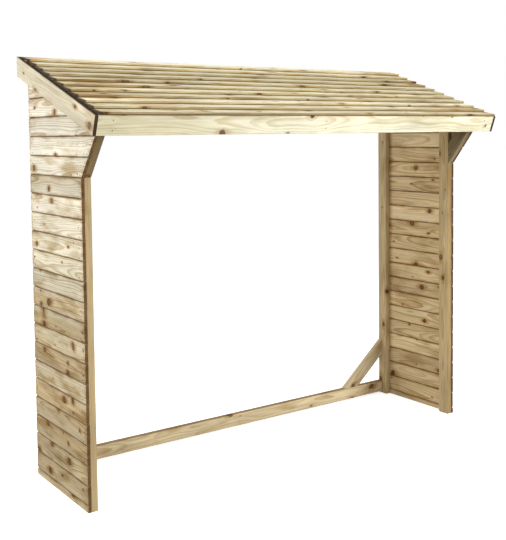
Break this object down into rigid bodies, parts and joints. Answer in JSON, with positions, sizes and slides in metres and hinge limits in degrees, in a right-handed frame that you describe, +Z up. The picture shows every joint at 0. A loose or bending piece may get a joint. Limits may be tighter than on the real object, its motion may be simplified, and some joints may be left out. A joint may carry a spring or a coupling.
{
  "type": "log store",
  "caption": "Open-fronted timber log store with boarded side walls, flared wall heads and a lapped roof that falls to the front.",
  "frame": {"origin": "middle of the store's bounding box on the ground, under the bay", "axes": "+X to the right along the store's width, +Y to the back, +Z up; the open front faces -Y"},
  "size_m": [2.434, 0.85, 2.0305],
  "materials": {
    "cladding": "pressure-treated tongue and groove softwood, matt, pale cream to tan",
    "framing": "pressure-treated planed softwood, matt, greenish tan",
    "roof": "pressure-treated feather-edge softwood, matt, tan",
    "trim": "pressure-treated planed softwood, matt, very pale cream"
  },
  "bodies": {
    "root": {"left_front_post": "framing", "left_rear_post": "framing", "left_rafter": "framing", "left_knee_brace": "framing", "left_wall_cladding": "cladding", "left_head_cladding": "cladding", "right_front_post": "framing", "right_rear_post": "framing", "right_rafter": "framing", "right_knee_brace": "framing", "right_wall_cladding": "cladding", "right_head_cladding": "cladding", "middle_rafter": "framing", "front_top_rail": "framing", "rear_top_rail": "framing", "rear_bottom_rail": "framing", "rear_corner_brace": "framing", "front_fascia": "trim", "left_bargeboard": "trim", "right_bargeboard": "trim", "roof_board_01": "roof", "roof_board_02": "roof", "roof_board_03": "roof", "roof_board_04": "roof", "roof_board_05": "roof", "roof_board_06": "roof", "roof_board_07": "roof", "roof_board_08": "roof", "roof_board_09": "roof", "roof_board_10": "roof", "roof_board_11": "roof"}
  },
  "joints": []
}
